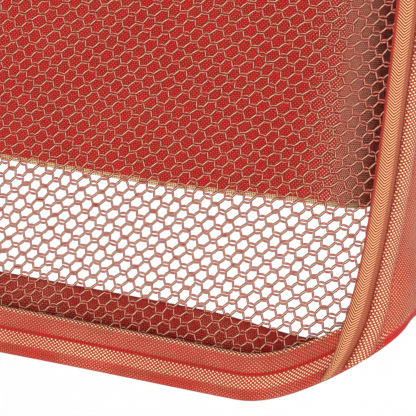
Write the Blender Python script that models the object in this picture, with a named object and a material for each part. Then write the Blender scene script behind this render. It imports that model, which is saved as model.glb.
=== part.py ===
"""Portable disc golf basket with a soft mesh tray.

Metres, +Z up. The pole stands on the Z axis and the feet rest on Z = 0. A folding four-leg
base carries a two-piece pole. A hub on the lower pole holds four wire posts, and the fabric
tray hangs by its rim hoop on the tips of those posts. The upper pole lifts out of the lower
one and carries the target band and the ring of hanging chains.
"""

import math

import bmesh
import bpy
from mathutils import Matrix, Vector

# ---------------------------------------------------------------- driving dimensions, in metres
GAP = 0.0003  # clearance between pieces that touch

# Fabric tray: a rounded square in plan
TRAY_HALF = 0.300
TRAY_CORNER = 0.016
INNER_CORNER = 0.0085  # tightest corner of a ring set well inside the outline
HEM_BOTTOM = 0.605
RIM_TOP = 0.800
CLOTH = 0.0012  # binding and webbing thickness
HEM_FRONT_LEG = 0.012
HEM_BACK_LEG = 0.021
HEM_WIDTH = 0.0072
HEM_RISE = 0.024  # the hem climbs this far round each corner panel
RISE_LENGTH = 0.054
RISE_LEAD = 0.0365  # where the climb starts, before the middle of the corner
RISE_STEP = 0.0045
FALL_LEAD = 0.045  # past the corner, where the hem starts its long way down again
FALL_LENGTH = 0.200
FALL_STEP = 0.0125
RIM_LEG = 0.014
RIM_WIDTH = 0.0102
MESH_OUTER = 0.0015  # inset of the mesh's outer face
MESH_INNER = 0.0023
CORNER_PANEL_RUN = 0.060  # solid panel beside each corner tape
CORNER_TAPE_RUN = 0.013
TAPE_RIDGE = 0.0022  # how far a tape's ridge stands proud of its base
TUB_INSET = 0.0156  # inner tub wall, behind the mesh
TUB_RISE = 0.0487  # tub floor above the hem's underside
TUB_CLOTH = 0.0012
HEM_WIRE = 0.0020
RIM_WIRE = 0.0030

# Tray carrier
POST_ROD = 0.0025
POST_INSET = 0.0125
POST_DROP = 0.0045  # post's level run below the hem
TRAY_HUB_RADIUS = 0.028
TRAY_HUB_LOW = 0.573
TRAY_HUB_HIGH = 0.612

# Poles
LOWER_POLE = 0.0143
LOWER_POLE_TOP = 0.760
UPPER_POLE = 0.0127
UPPER_POLE_LOW = 0.600
UPPER_POLE_TOP = 1.285
TUBE_WALL = 0.0012
SOCKET_CLEARANCE = 0.0003
COLLAR_LOW = 0.735
COLLAR_HIGH = 0.775
COLLAR_RADIUS = 0.0215
STOP_PIN = 0.0020

# Target band and chains
BAND_HALF = 0.235
BAND_CORNER = 0.038
BAND_TOP = 1.300
BAND_BOTTOM = 1.180
TOP_ARM_LEVEL = 1.278
TOP_HUB_RADIUS = 0.028
TOP_HUB_LOW = 1.252
TOP_HUB_HIGH = 1.314
CHAIN_COUNT = 8
CHAIN_RING_RADIUS = 0.165
CHAIN_RING_WIRE = 0.0020
CHAIN_RADIUS = 0.0045
CHAIN_FOOT_RADIUS = 0.058
CHAIN_FOOT_LEVEL = 0.8485
CHAIN_SAG = 1.8  # power of the hanging curve: steep at the top, leaning in at the bottom
COLLECTOR_RADIUS = 0.055
COLLECTOR_WIRE = 0.0025
COLLECTOR_LEVEL = 0.842

# Folding base
LEG_PIN_RADIUS = 0.048  # pin centre from the pole's axis
LEG_PIN_LEVEL = 0.200
LEG_REACH = 0.360  # where a leg's axis meets the floor, from the pole's axis
LEG_TUBE = 0.0080
LEG_TUBE_START = 0.020
TONGUE_HALF_HEIGHT = 0.0055
TONGUE_HALF_WIDTH = 0.0040
HINGE_PIN = 0.0025
BASE_HUB_RADIUS = 0.034
BASE_HUB_LOW = 0.165
BASE_HUB_HIGH = 0.235
POLE_SOCKET_FLOOR = 0.180
LUG_REACH = 0.060
LUG_HALF_WIDTH = 0.012
LUG_HALF_HEIGHT = 0.013
FOOT_RADIUS = 0.0120
FOOT_SLEEVE = 0.040

# Knobs
KNOB_STUD = 0.0030
KNOB_HEAD = 0.0140
KNOB_THICK = 0.0120

# Facets
CORNER_STEPS = 6
ROUND_SIDES = 20
ROD_SIDES = 8

MATERIALS = {
    "red_mesh": ((0.56, 0.07, 0.05), 0.75, 0.0),
    "red_binding": ((0.60, 0.07, 0.04), 0.70, 0.0),
    "red_oxford": ((0.52, 0.03, 0.03), 0.65, 0.0),
    "spring_steel": ((0.45, 0.45, 0.46), 0.35, 1.0),
    "black_powder_coat": ((0.03, 0.03, 0.03), 0.45, 0.3),
    "black_plastic": ((0.02, 0.02, 0.022), 0.50, 0.0),
    "zinc_chain": ((0.70, 0.70, 0.72), 0.28, 1.0),
    "zinc_hardware": ((0.66, 0.66, 0.68), 0.32, 1.0),
    "black_rubber": ((0.015, 0.015, 0.015), 0.85, 0.0),
}


# ---------------------------------------------------------------- scene and mesh helpers
def clear_scene():
    for old in list(bpy.data.objects):
        bpy.data.objects.remove(old, do_unlink=True)


def make_materials():
    """One Principled material for each finish."""
    made = {}
    for name, (colour, roughness, metallic) in MATERIALS.items():
        finish = bpy.data.materials.new(name)
        finish.use_nodes = True
        shader = finish.node_tree.nodes["Principled BSDF"]
        shader.inputs["Base Color"].default_value = (*colour, 1.0)
        shader.inputs["Roughness"].default_value = roughness
        shader.inputs["Metallic"].default_value = metallic
        made[name] = finish
    return made


def new_object(name, points, faces, finish, place=None):
    """A closed mesh object with outward faces; place moves it and becomes its matrix."""
    mesh = bpy.data.meshes.new(name)
    shape = bmesh.new()
    corners = [shape.verts.new(p) for p in points]
    for face in faces:
        shape.faces.new([corners[i] for i in face])
    bmesh.ops.recalc_face_normals(shape, faces=shape.faces)
    shape.to_mesh(mesh)
    shape.free()
    if finish is not None:
        mesh.materials.append(FINISHES[finish])
    mesh.shade_smooth()
    mesh.set_sharp_from_angle(angle=math.radians(35))
    made = bpy.data.objects.new(name, mesh)
    bpy.context.scene.collection.objects.link(made)
    if place is not None:
        made.matrix_world = place
    return made


def loft(name, rings, finish, closed=False, place=None):
    """Joins equal rings of points in order; open lofts get flat end caps."""
    count = len(rings[0])
    points = [p for ring in rings for p in ring]
    faces = []
    spans = len(rings) if closed else len(rings) - 1
    for i in range(spans):
        here, there = i * count, (i + 1) % len(rings) * count
        for j in range(count):
            k = (j + 1) % count
            faces.append((here + j, here + k, there + k, there + j))
    if not closed:
        faces.append(tuple(range(count)))
        faces.append(tuple(range(len(points) - count, len(points))))
    return new_object(name, points, faces, finish, place)


def turned(name, profile, finish, sides=ROUND_SIDES, place=None):
    """A ring turned about local Z from a closed (radius, height) profile clear of the axis."""
    rings = []
    for i in range(sides):
        turn = Matrix.Rotation(math.tau * i / sides, 3, "Z")
        rings.append([turn @ Vector((r, 0, z)) for r, z in profile])
    return loft(name, rings, finish, closed=True, place=place)


def capped(name, profile, finish, sides=ROUND_SIDES, place=None):
    """A solid turned about local Z from an open (radius, height) profile, flat at both ends."""
    rings = []
    for r, z in profile:
        spokes = [math.tau * i / sides for i in range(sides)]
        rings.append([(r * math.cos(a), r * math.sin(a), z) for a in spokes])
    return loft(name, rings, finish, place=place)


def rod(name, path, radius, finish, sides=ROD_SIDES, place=None):
    """A round bar along a path of points."""
    path = [Vector(p) for p in path]
    across = None
    rings = []
    for i, here in enumerate(path):
        back = path[max(i - 1, 0)]
        ahead = path[min(i + 1, len(path) - 1)]
        along = (ahead - back).normalized()
        if across is None:
            across = along.orthogonal().normalized()
        across = (across - along * across.dot(along)).normalized()
        other = along.cross(across)
        ring = []
        for k in range(sides):
            a = math.tau * (k + 0.5) / sides
            ring.append(here + radius * (math.cos(a) * across + math.sin(a) * other))
        rings.append(ring)
    return loft(name, rings, finish, place=place)


def bend(before, corner, after, radius, steps=4):
    """Points of a rounded corner between two straight runs."""
    before, corner, after = Vector(before), Vector(corner), Vector(after)
    start = corner + (before - corner).normalized() * radius
    end = corner + (after - corner).normalized() * radius
    points = []
    for i in range(steps + 1):
        t = i / steps
        points.append(start.lerp(corner, t).lerp(corner.lerp(end, t), t))
    return points


def boolean(target, tool, operation):
    """Adds a Boolean of a hidden tool object to target."""
    tool.hide_render = True
    tool.display_type = "WIRE"
    step = target.modifiers.new(operation.lower(), "BOOLEAN")
    step.object = tool
    step.operation = operation
    step.solver = "EXACT"


def about_z(angle, offset=(0.0, 0.0, 0.0)):
    return Matrix.Rotation(angle, 4, "Z") @ Matrix.Translation(Vector(offset))


# ---------------------------------------------------------------- rounded-square rings
def half_run(half, corner):
    """From a side's middle to the middle of its corner, along the outline."""
    return half - corner + corner * math.pi / 4


def side_point(side, run, inset, level, half, corner):
    """A point on one side of a rounded square; run is measured from the side's middle."""
    straight = half - corner
    reach = max(corner - inset, min(corner, INNER_CORNER))
    flat = half - inset - reach
    if abs(run) <= straight:
        x, y = run * flat / straight, -(half - inset)
    else:
        angle = (abs(run) - straight) / corner
        x = math.copysign(flat + reach * math.sin(angle), run)
        y = -(flat + reach * math.cos(angle))
    return Matrix.Rotation(side * math.pi / 2, 3, "Z") @ Vector((x, y, level))


def smooth(t):
    t = min(max(t, 0.0), 1.0)
    return t * t * (3 - 2 * t)


def hem_rise(run):
    """How far the tray's hem stands above its lowest level at a run along any side."""
    end = half_run(TRAY_HALF, TRAY_CORNER)
    past_corner = run if run > 0 else run + 2 * end
    climb = smooth((past_corner - end + RISE_LEAD) / RISE_LENGTH)
    fall = smooth((run + end - FALL_LEAD) / FALL_LENGTH) if run < 0 else 0.0
    return HEM_RISE * climb * (1 - fall)


def rise_runs():
    """Even steps along a side's straight part, wherever its hem climbs or falls."""
    end = half_run(TRAY_HALF, TRAY_CORNER)
    straight = TRAY_HALF - TRAY_CORNER
    spans = (
        (-straight, -end - RISE_LEAD + RISE_LENGTH, RISE_STEP),
        (-end + FALL_LEAD, -end + FALL_LEAD + FALL_LENGTH, FALL_STEP),
        (end - RISE_LEAD, straight, RISE_STEP),
    )
    runs = []
    for low, high, step in spans:
        steps = math.ceil((high - low) / step)
        runs += [low + (high - low) * i / steps for i in range(steps + 1)]
    return runs


def tray_point(side, run, inset, level):
    """A point of the tray, raised with the hem if it is at the hem's level."""
    if level < HEM_BOTTOM + HEM_BACK_LEG + GAP:
        level += hem_rise(run)
    return side_point(side, run, inset, level, TRAY_HALF, TRAY_CORNER)


def runs_between(low, high, half, corner, extra=()):
    """Stations along a side: its ends, even steps round the corner arcs, and any extra ones."""
    straight = half - corner
    step = corner * math.pi / 4 / (CORNER_STEPS / 2)
    stations = {low, high} | {at for at in extra if low < at < high}
    for sign in (-1, 1):
        for i in range(CORNER_STEPS // 2 + 1):
            at = sign * (straight + i * step)
            if low < at < high:
                stations.add(at)
    stations = sorted(stations)
    kept = [stations[0]]
    for at in stations[1:]:
        if at - kept[-1] > 1e-6:
            kept.append(at)
    return kept


def ring_section(name, section, half, corner, finish):
    """Sweeps a closed (inset, level) section all the way round a rounded square."""
    rings = []
    end = half_run(half, corner)
    for side in range(4):
        for run in runs_between(-end, end, half, corner)[:-1]:
            rings.append([side_point(side, run, d, z, half, corner) for d, z in section])
    return loft(name, rings, finish, closed=True)


def tray_section(name, section, finish):
    """Sweeps a closed (inset, level) section all the way round the tray, rising with its hem."""
    rings = []
    end = half_run(TRAY_HALF, TRAY_CORNER)
    for side in range(4):
        for run in runs_between(-end, end, TRAY_HALF, TRAY_CORNER, rise_runs())[:-1]:
            rings.append([tray_point(side, run, d, z) for d, z in section])
    return loft(name, rings, finish, closed=True)


def side_section(name, section, side, low, high, finish):
    """Sweeps a closed (inset, level) section along part of one side of the tray."""
    rings = []
    for run in runs_between(low, high, TRAY_HALF, TRAY_CORNER, rise_runs()):
        rings.append([tray_point(side, run, d, z) for d, z in section])
    return loft(name, rings, finish)


def round_section(inset, level, radius, sides=ROD_SIDES):
    section = []
    for k in range(sides):
        a = math.tau * (k + 0.5) / sides
        section.append((inset + radius * math.cos(a), level + radius * math.sin(a)))
    return section


def box_section(outer, inner, low, high):
    return [(outer, low), (outer, high), (inner, high), (inner, low)]


# ---------------------------------------------------------------- folding base
def leg_direction():
    """A leg's unit direction in its own (radius, level) plane, from pin to floor."""
    return Vector((LEG_REACH - LEG_PIN_RADIUS, -LEG_PIN_LEVEL)).normalized()


def leg_frame(index):
    """Matrix at a leg's pin: local Z runs down the leg, local Y lies along the pin."""
    down = leg_direction()
    turn = math.pi / 4 + index * math.pi / 2
    along = Vector((down.x, 0, down.y))
    pin = Vector((0, 1, 0))
    across = pin.cross(along)
    axes = Matrix((across, pin, along)).transposed().to_4x4()
    return about_z(turn, (LEG_PIN_RADIUS, 0, LEG_PIN_LEVEL)) @ axes


def leg_length():
    return math.hypot(LEG_REACH - LEG_PIN_RADIUS, LEG_PIN_LEVEL)


def extruded_outline(name, outline, half_width, place):
    """A flat (x, z) outline given a thickness along local Y."""
    rings = [[(x, y, z) for x, z in outline] for y in (-half_width, half_width)]
    return loft(name, rings, None, place=place)


def slot_outline():
    """The room a leg's tongue sweeps from its spread stop to hanging straight down."""
    down = leg_direction()
    clear = TONGUE_HALF_HEIGHT + GAP
    upper = Vector((-down.y, down.x))
    reach = 2 * LUG_HALF_WIDTH
    outline = [upper * clear + down * reach, upper * clear]
    start = math.atan2(upper.y, upper.x)
    steps = 5
    for i in range(1, steps + 1):
        angle = start + (math.pi - start) * i / steps
        outline.append(Vector((math.cos(angle), math.sin(angle))) * clear)
    outline.append(Vector((-clear, -2 * LUG_HALF_HEIGHT)))
    outline.append(down * reach + Vector((0, -2 * LUG_HALF_HEIGHT)))
    return [(p.x, p.y) for p in outline]


def build_base():
    low, high = BASE_HUB_LOW, BASE_HUB_HIGH
    edge = 0.003
    profile = [
        (BASE_HUB_RADIUS - edge, low),
        (BASE_HUB_RADIUS, low + edge),
        (BASE_HUB_RADIUS, LEG_PIN_LEVEL + LUG_HALF_HEIGHT + edge),
        (LOWER_POLE + 3 * edge, high - edge),
        (LOWER_POLE + 2 * edge, high),
    ]
    hub = capped("base_hub", profile, "black_plastic", sides=24)
    for index in range(4):
        turn = math.pi / 4 + index * math.pi / 2
        centre = (LUG_REACH + BASE_HUB_RADIUS / 2) / 2
        half_reach = (LUG_REACH - BASE_HUB_RADIUS / 2) / 2
        outline = [
            (-half_reach, -LUG_HALF_HEIGHT),
            (half_reach, -LUG_HALF_HEIGHT),
            (half_reach, LUG_HALF_HEIGHT / 2),
            (half_reach - LUG_HALF_HEIGHT / 2, LUG_HALF_HEIGHT),
            (-half_reach, LUG_HALF_HEIGHT),
        ]
        place = about_z(turn, (centre, 0, LEG_PIN_LEVEL))
        lug = extruded_outline(f"tool_lug_{index}", outline, LUG_HALF_WIDTH, place)
        boolean(hub, lug, "UNION")
    for index in range(4):
        turn = math.pi / 4 + index * math.pi / 2
        place = about_z(turn, (LEG_PIN_RADIUS, 0, LEG_PIN_LEVEL))
        width = TONGUE_HALF_WIDTH + GAP
        slot = extruded_outline(f"tool_slot_{index}", slot_outline(), width, place)
        boolean(hub, slot, "DIFFERENCE")
        drill_place = place @ Matrix.Rotation(math.pi / 2, 4, "X")
        drill_radius = HINGE_PIN + GAP
        ends = [(drill_radius, -2 * LUG_HALF_WIDTH), (drill_radius, 2 * LUG_HALF_WIDTH)]
        drill = capped(f"tool_pin_{index}", ends, None, sides=12, place=drill_place)
        boolean(hub, drill, "DIFFERENCE")
    socket_radius = LOWER_POLE + SOCKET_CLEARANCE
    ends = [(socket_radius, POLE_SOCKET_FLOOR), (socket_radius, high + edge)]
    boolean(hub, capped("tool_socket", ends, None, sides=ROUND_SIDES), "DIFFERENCE")

    for index in range(4):
        build_hinge_pin(index)
        build_leg(index)


def build_hinge_pin(index):
    """A leg's cross pin, flush with the sides of its lug."""
    turn = math.pi / 4 + index * math.pi / 2
    place = about_z(turn, (LEG_PIN_RADIUS, 0, LEG_PIN_LEVEL)) @ Matrix.Rotation(math.pi / 2, 4, "X")
    half = LUG_HALF_WIDTH - GAP
    ends = [(HINGE_PIN, -half), (HINGE_PIN, half)]
    capped(f"leg_pin_{index + 1}", ends, "zinc_hardware", sides=12, place=place)


def build_leg(index):
    frame = leg_frame(index)
    length = leg_length()
    tube_end = length - 0.022
    bore = LEG_TUBE - TUBE_WALL
    profile = [
        (LEG_TUBE - 0.002, LEG_TUBE_START),
        (LEG_TUBE, LEG_TUBE_START + 0.002),
        (LEG_TUBE, tube_end),
        (bore, tube_end),
        (bore, LEG_TUBE_START + 0.006),
    ]
    leg = capped(f"leg_{index + 1}", profile, "black_powder_coat", sides=14, place=frame)
    outline = []
    steps = 6
    for i in range(steps + 1):
        a = math.pi * i / steps
        x, z = math.cos(a) * TONGUE_HALF_HEIGHT, -math.sin(a) * TONGUE_HALF_HEIGHT
        outline.append((x, z))
    outline.append((-TONGUE_HALF_HEIGHT, LEG_TUBE_START + 0.004))
    outline.append((TONGUE_HALF_HEIGHT, LEG_TUBE_START + 0.004))
    tongue = extruded_outline(f"tool_tongue_{index}", outline, TONGUE_HALF_WIDTH, frame)
    boolean(leg, tongue, "UNION")
    eye_radius = HINGE_PIN + GAP
    ends = [(eye_radius, -LUG_HALF_WIDTH), (eye_radius, LUG_HALF_WIDTH)]
    eye_place = frame @ Matrix.Rotation(math.pi / 2, 4, "X")
    eye = capped(f"tool_eye_{index}", ends, None, sides=12, place=eye_place)
    boolean(leg, eye, "DIFFERENCE")

    sleeve = length - FOOT_SLEEVE
    lip = 0.0015
    hole = LEG_TUBE + GAP
    profile = [
        (FOOT_RADIUS - lip, sleeve),
        (FOOT_RADIUS, sleeve + lip),
        (FOOT_RADIUS, length + 2 * FOOT_RADIUS),
    ]
    foot = capped(f"foot_{index + 1}", profile, "black_rubber", sides=16, place=frame)
    ends = [(hole, sleeve - lip), (hole, tube_end + GAP)]
    bore_tool = capped(f"tool_boot_{index}", ends, None, sides=14, place=frame)
    boolean(foot, bore_tool, "DIFFERENCE")
    size = 4 * FOOT_RADIUS
    ground = [(-size, -2 * size), (size, -2 * size), (size, 0), (-size, 0)]
    turn = math.pi / 4 + index * math.pi / 2
    floor_place = about_z(turn, (LEG_REACH, 0, 0))
    floor = extruded_outline(f"tool_floor_{index}", ground, size, floor_place)
    boolean(foot, floor, "DIFFERENCE")


# ---------------------------------------------------------------- poles
def build_poles():
    bore = LOWER_POLE - TUBE_WALL
    low = POLE_SOCKET_FLOOR + GAP
    profile = [
        (bore, low),
        (LOWER_POLE, low),
        (LOWER_POLE, LOWER_POLE_TOP),
        (bore, LOWER_POLE_TOP),
    ]
    pole = turned("lower_pole", profile, "black_powder_coat")
    pin_level = UPPER_POLE_LOW - GAP - STOP_PIN
    across = Matrix.Translation((0, 0, pin_level)) @ Matrix.Rotation(math.pi / 2, 4, "X")
    hole = STOP_PIN + GAP
    ends = [(hole, -2 * LOWER_POLE), (hole, 2 * LOWER_POLE)]
    boolean(pole, capped("tool_stop_hole", ends, None, sides=12, place=across), "DIFFERENCE")
    ends = [(STOP_PIN, -LOWER_POLE), (STOP_PIN, LOWER_POLE)]
    capped("pole_stop_pin", ends, "zinc_hardware", sides=12, place=across)

    bore = UPPER_POLE - TUBE_WALL
    profile = [
        (bore, UPPER_POLE_LOW),
        (UPPER_POLE, UPPER_POLE_LOW),
        (UPPER_POLE, UPPER_POLE_TOP),
        (bore, UPPER_POLE_TOP),
    ]
    turned("upper_pole", profile, "black_powder_coat")

    edge = 0.002
    shoulder = LOWER_POLE_TOP + GAP
    profile = [
        (LOWER_POLE + SOCKET_CLEARANCE, COLLAR_LOW),
        (COLLAR_RADIUS - edge, COLLAR_LOW),
        (COLLAR_RADIUS, COLLAR_LOW + edge),
        (COLLAR_RADIUS, COLLAR_HIGH - 3 * edge),
        (UPPER_POLE + SOCKET_CLEARANCE + edge, COLLAR_HIGH),
        (UPPER_POLE + SOCKET_CLEARANCE, COLLAR_HIGH),
        (UPPER_POLE + SOCKET_CLEARANCE, shoulder),
        (LOWER_POLE + SOCKET_CLEARANCE, shoulder),
    ]
    collar = turned("pole_collar", profile, "black_plastic")
    level = (COLLAR_LOW + shoulder) / 2
    build_knob("collar_knob", collar, -math.pi / 4, level, COLLAR_RADIUS)


def build_knob(name, holder, turn, level, surface):
    """A fluted clamp knob on a stud that runs radially into holder."""
    place = about_z(turn, (0, 0, level)) @ Matrix.Rotation(math.pi / 2, 4, "Y")
    reach = surface + 0.004
    hole = KNOB_STUD + GAP
    ends = [(hole, LOWER_POLE - 0.001), (hole, surface + 0.006)]
    drill = capped(f"tool_{name}", ends, None, sides=12, place=place)
    boolean(holder, drill, "DIFFERENCE")
    tip = LOWER_POLE + SOCKET_CLEARANCE + GAP
    flutes = 6
    sides = 4 * flutes
    rings = []
    stations = [
        (KNOB_STUD, tip),
        (KNOB_STUD, reach),
        (KNOB_HEAD - 0.001, reach + 0.0005),
        (KNOB_HEAD, reach + 0.002),
        (KNOB_HEAD, reach + KNOB_THICK - 0.002),
        (KNOB_HEAD - 0.002, reach + KNOB_THICK),
    ]
    for radius, along in stations:
        ring = []
        for k in range(sides):
            a = math.tau * k / sides
            flute = 0.0 if radius <= KNOB_STUD else 0.11 * math.cos(flutes * a)
            r = radius * (1 - flute)
            ring.append((r * math.cos(a), r * math.sin(a), along))
        rings.append(ring)
    loft(name, rings, "black_plastic", place=place)


# ---------------------------------------------------------------- tray carrier
def build_tray_carrier():
    edge = 0.003
    bore = LOWER_POLE + SOCKET_CLEARANCE
    profile = [
        (bore, TRAY_HUB_LOW),
        (TRAY_HUB_RADIUS - edge, TRAY_HUB_LOW),
        (TRAY_HUB_RADIUS, TRAY_HUB_LOW + edge),
        (TRAY_HUB_RADIUS, TRAY_HUB_HIGH - edge),
        (TRAY_HUB_RADIUS - edge, TRAY_HUB_HIGH),
        (bore, TRAY_HUB_HIGH),
    ]
    hub = turned("tray_hub", profile, "black_plastic", sides=24)
    level = HEM_BOTTOM - POST_DROP
    start = LOWER_POLE + 0.004
    for side in range(4):
        turn = side * math.pi / 2
        place = about_z(turn, (0, 0, level)) @ Matrix.Rotation(math.pi / 2, 4, "Y")
        ends = [(POST_ROD + GAP, start - GAP), (POST_ROD + GAP, TRAY_HUB_RADIUS + edge)]
        drill = capped(f"tool_post_{side}", ends, None, sides=12, place=place)
        boolean(hub, drill, "DIFFERENCE")
        build_post(side, level, start)
    knob_level = level - 0.0125
    build_knob("tray_knob", hub, -math.pi / 4, knob_level, TRAY_HUB_RADIUS)


def build_post(side, level, start):
    """A wire post: out from the hub, up behind the mesh and into the rim's channel."""
    reach = TRAY_HALF - POST_INSET
    tip_reach = TRAY_HALF - RIM_WIRE_INSET
    tip_level = RIM_TOP - CLOTH - GAP - 2 * RIM_WIRE - GAP
    lean_low, lean_high = RIM_TOP - 0.034, RIM_TOP - 0.020
    points = [(start, 0, level)]
    points += bend((start, 0, level), (reach, 0, level), (reach, 0, RIM_TOP), 0.010)
    points += [(reach, 0, lean_low), (tip_reach, 0, lean_high), (tip_reach, 0, tip_level)]
    rod(f"tray_post_{side + 1}", points, POST_ROD, "black_powder_coat", place=about_z(side * math.pi / 2))


# ---------------------------------------------------------------- fabric tray
RIM_WIRE_INSET = CLOTH + GAP + 0.0012 + RIM_WIRE
HEM_WIRE_INSET = CLOTH + 0.0004 + HEM_WIRE


def hem_section():
    low, chamfer = HEM_BOTTOM, 0.002
    inner = HEM_WIDTH - CLOTH
    return [
        (0.0, low + HEM_FRONT_LEG),
        (0.0, low + chamfer),
        (chamfer, low),
        (HEM_WIDTH - chamfer, low),
        (HEM_WIDTH, low + chamfer),
        (HEM_WIDTH, low + HEM_BACK_LEG),
        (inner, low + HEM_BACK_LEG),
        (inner, low + CLOTH),
        (CLOTH, low + CLOTH),
        (CLOTH, low + HEM_FRONT_LEG),
    ]


def channel_section(top, front, back, width):
    """A folded binding that opens downwards, with its legs' lower ends at front and back."""
    chamfer = 0.002
    inner = width - CLOTH
    return [
        (0.0, front),
        (0.0, top - chamfer),
        (chamfer, top),
        (width - chamfer, top),
        (width, top - chamfer),
        (width, back),
        (inner, back),
        (inner, top - CLOTH),
        (CLOTH, top - CLOTH),
        (CLOTH, front),
    ]


def build_tray():
    plan = (TRAY_HALF, TRAY_CORNER)
    tray_section("hem_binding", hem_section(), "red_binding")
    wire_level = HEM_BOTTOM + CLOTH + GAP + HEM_WIRE
    section = round_section(HEM_WIRE_INSET, wire_level, HEM_WIRE)
    tray_section("hem_hoop", section, "spring_steel")

    leg = RIM_TOP - RIM_LEG
    section = channel_section(RIM_TOP, leg, leg, RIM_WIDTH)
    ring_section("rim_binding", section, *plan, "red_binding")
    wire_level = RIM_TOP - CLOTH - GAP - RIM_WIRE
    section = round_section(RIM_WIRE_INSET, wire_level, RIM_WIRE)
    ring_section("rim_hoop", section, *plan, "spring_steel")

    build_walls()
    build_tub()


def build_walls():
    """Round each side: corner tape, solid corner panel, then mesh to the next tape."""
    end = half_run(TRAY_HALF, TRAY_CORNER)
    low = HEM_BOTTOM + CLOTH + 2 * HEM_WIRE + 0.0013
    high = RIM_TOP - CLOTH - 2 * RIM_WIRE - 0.0013
    wall = box_section(MESH_OUTER, MESH_INNER, low, high)
    panel_low = -end + CORNER_TAPE_RUN / 2 + GAP
    panel_high = panel_low + CORNER_PANEL_RUN
    for side in range(4):
        name = f"corner_panel_{side + 1}"
        side_section(name, wall, side, panel_low, panel_high, "red_oxford")
        name = f"mesh_panel_{side + 1}"
        mesh_high = end - CORNER_TAPE_RUN / 2 - GAP
        side_section(name, wall, side, panel_high + GAP, mesh_high, "red_mesh")
        build_corner_tape(side, end)


def build_corner_tape(side, end):
    """The upright tape in the middle of a corner, between the hem and the rim."""
    low = HEM_BOTTOM + HEM_FRONT_LEG + GAP
    high = RIM_TOP - RIM_LEG - GAP
    half = CORNER_TAPE_RUN / 2
    steps = 6
    rings = []
    for i in range(steps + 1):
        run = end - half + 2 * half * i / steps
        ridge = abs(math.sin(2 * math.pi * i / steps))
        outer = MESH_OUTER - 0.0004 - TAPE_RIDGE * 0.45 * ridge
        owner, at = (side, run) if run <= end else (side + 1, run - 2 * end)
        section = box_section(outer, MESH_INNER, low, high)
        rings.append([tray_point(owner, at, d, z) for d, z in section])
    loft(f"corner_tape_{side + 1}", rings, "red_binding")


def build_tub():
    floor_low = HEM_BOTTOM + TUB_RISE
    floor_high = floor_low + TUB_CLOTH
    wall_low = floor_high + GAP
    top_inset = RIM_WIDTH + 0.0005
    flare_low, flare_high = RIM_TOP - 0.034, RIM_TOP - 0.012
    top = RIM_TOP - 0.003
    section = [
        (TUB_INSET, wall_low),
        (TUB_INSET, flare_low),
        (top_inset, flare_high),
        (top_inset, top),
        (top_inset + TUB_CLOTH, top),
        (top_inset + TUB_CLOTH, flare_high - TUB_CLOTH / 2),
        (TUB_INSET + TUB_CLOTH, flare_low - TUB_CLOTH / 2),
        (TUB_INSET + TUB_CLOTH, wall_low),
    ]
    ring_section("tub_wall", section, TRAY_HALF, TRAY_CORNER, "red_oxford")

    outline = []
    end = half_run(TRAY_HALF, TRAY_CORNER)
    for side in range(4):
        for run in runs_between(-end, end, TRAY_HALF, TRAY_CORNER)[:-1]:
            outline.append(side_point(side, run, TUB_INSET, 0.0, TRAY_HALF, TRAY_CORNER))
    rings = [[(p.x, p.y, z) for p in outline] for z in (floor_low, floor_high)]
    floor = loft("tub_floor", rings, "red_oxford")
    eye = 0.020
    ends = [(eye, floor_low - 0.01), (eye, floor_high + 0.01)]
    boolean(floor, capped("tool_floor_eye", ends, None, sides=24), "DIFFERENCE")

    bore, barrel, flange = 0.0165, eye - GAP, 0.0275
    rest = floor_high + GAP
    profile = [
        (bore, floor_low - 0.0012),
        (barrel, floor_low - 0.0012),
        (barrel, rest),
        (flange, rest),
        (flange, rest + 0.0012),
        (flange - 0.001, rest + 0.0020),
        (bore, rest + 0.0020),
    ]
    turned("floor_grommet", profile, "black_plastic", sides=24)


# ---------------------------------------------------------------- target band and chains
def build_top():
    edge = 0.004
    profile = [
        (TOP_HUB_RADIUS - edge, TOP_HUB_LOW),
        (TOP_HUB_RADIUS, TOP_HUB_LOW + edge),
        (TOP_HUB_RADIUS, TOP_HUB_HIGH - 4 * edge),
        (TOP_HUB_RADIUS - edge, TOP_HUB_HIGH - edge),
        (TOP_HUB_RADIUS - 3 * edge, TOP_HUB_HIGH),
    ]
    hub = capped("top_hub", profile, "black_plastic", sides=24)
    socket_radius = UPPER_POLE + SOCKET_CLEARANCE
    ends = [(socket_radius, TOP_HUB_LOW - edge), (socket_radius, UPPER_POLE_TOP + GAP)]
    boolean(hub, capped("tool_top_socket", ends, None), "DIFFERENCE")

    wire_inset = CLOTH + 0.0009 + RIM_WIRE
    wire_level = BAND_TOP - CLOTH - GAP - RIM_WIRE
    start = UPPER_POLE + 0.004
    reach = BAND_HALF - wire_inset
    tip = wire_level - RIM_WIRE - GAP
    for side in range(4):
        turn = side * math.pi / 2
        place = about_z(turn, (0, 0, TOP_ARM_LEVEL)) @ Matrix.Rotation(math.pi / 2, 4, "Y")
        ends = [(POST_ROD + GAP, start - GAP), (POST_ROD + GAP, TOP_HUB_RADIUS + edge)]
        drill = capped(f"tool_arm_{side}", ends, None, sides=12, place=place)
        boolean(hub, drill, "DIFFERENCE")
        points = [(start, 0, TOP_ARM_LEVEL)]
        corner = (reach, 0, TOP_ARM_LEVEL)
        points += bend((start, 0, TOP_ARM_LEVEL), corner, (reach, 0, BAND_TOP), 0.006)
        points.append((reach, 0, tip))
        rod(f"top_arm_{side + 1}", points, POST_ROD, "black_powder_coat", place=about_z(turn))

    plan = (BAND_HALF, BAND_CORNER)
    section = channel_section(BAND_TOP, BAND_BOTTOM, BAND_TOP - RIM_LEG, RIM_WIDTH)
    ring_section("target_band", section, *plan, "red_oxford")
    section = round_section(wire_inset, wire_level, RIM_WIRE)
    ring_section("band_hoop", section, *plan, "spring_steel")
    build_chains()


def wire_ring(name, radius, level, wire, finish, sides=30):
    """A ring of round wire about the pole."""
    profile = []
    for k in range(ROD_SIDES):
        a = math.tau * (k + 0.5) / ROD_SIDES
        profile.append((radius + wire * math.cos(a), level + wire * math.sin(a)))
    turned(name, profile, finish, sides=sides)


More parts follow.
